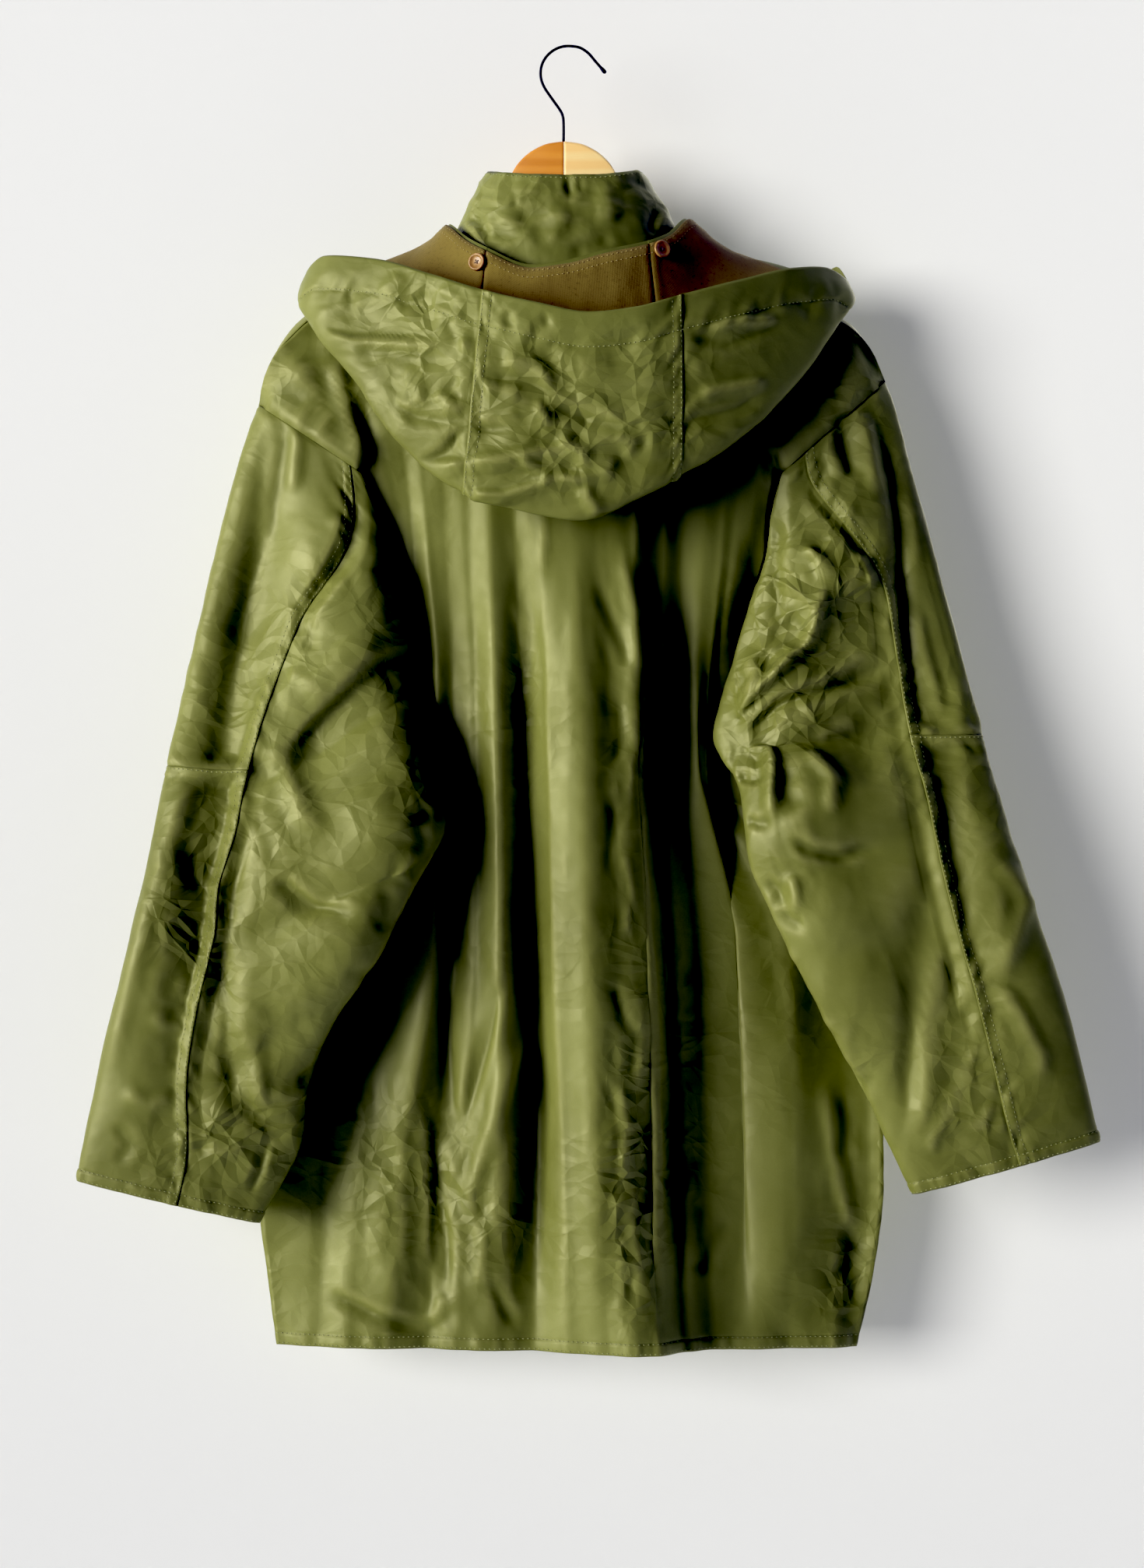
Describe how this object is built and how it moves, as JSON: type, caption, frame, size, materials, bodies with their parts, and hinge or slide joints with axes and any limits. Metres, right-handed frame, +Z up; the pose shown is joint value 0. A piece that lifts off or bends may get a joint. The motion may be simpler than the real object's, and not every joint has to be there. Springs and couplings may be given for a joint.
{
  "type": "hooded parka on hanger",
  "caption": "Hooded parka of coated olive cloth hanging on a wooden hanger with a wire hook, hood folded down over the back, stand collar, hem and cuffs open.",
  "frame": {"origin": "inner top of the hanger's wire hook, where a rail carries it", "axes": "+Z up, -Y the garment's back (the side in the picture), +Y its front, +X the wearer's right"},
  "size_m": [0.7861, 0.1852, 1.0202],
  "materials": {
    "shell_cloth": "coated cotton, low sheen, creased",
    "lining_canvas": "matt canvas",
    "button_horn": "satin ochre",
    "hanger_wood": "satin varnish",
    "hook_wire": "black"
  },
  "bodies": {
    "root": {"hook": "hook_wire", "hanger_arm_left": "hanger_wood", "hanger_arm_right": "hanger_wood", "back_panel": "shell_cloth", "front_left": "shell_cloth", "front_right": "shell_cloth", "front_placket": "shell_cloth", "collar": "shell_cloth", "sleeve_left_outer_upper": "shell_cloth", "sleeve_left_outer_lower": "shell_cloth", "sleeve_left_under": "shell_cloth", "sleeve_right_outer_upper": "shell_cloth", "sleeve_right_outer_lower": "shell_cloth", "sleeve_right_under": "shell_cloth", "hood_left": "shell_cloth", "hood_lining_left": "lining_canvas", "hood_centre": "shell_cloth", "hood_lining_centre": "lining_canvas", "hood_right": "shell_cloth", "hood_lining_right": "lining_canvas", "hood_button_left": "button_horn", "hood_button_right": "button_horn"}
  },
  "joints": []
}
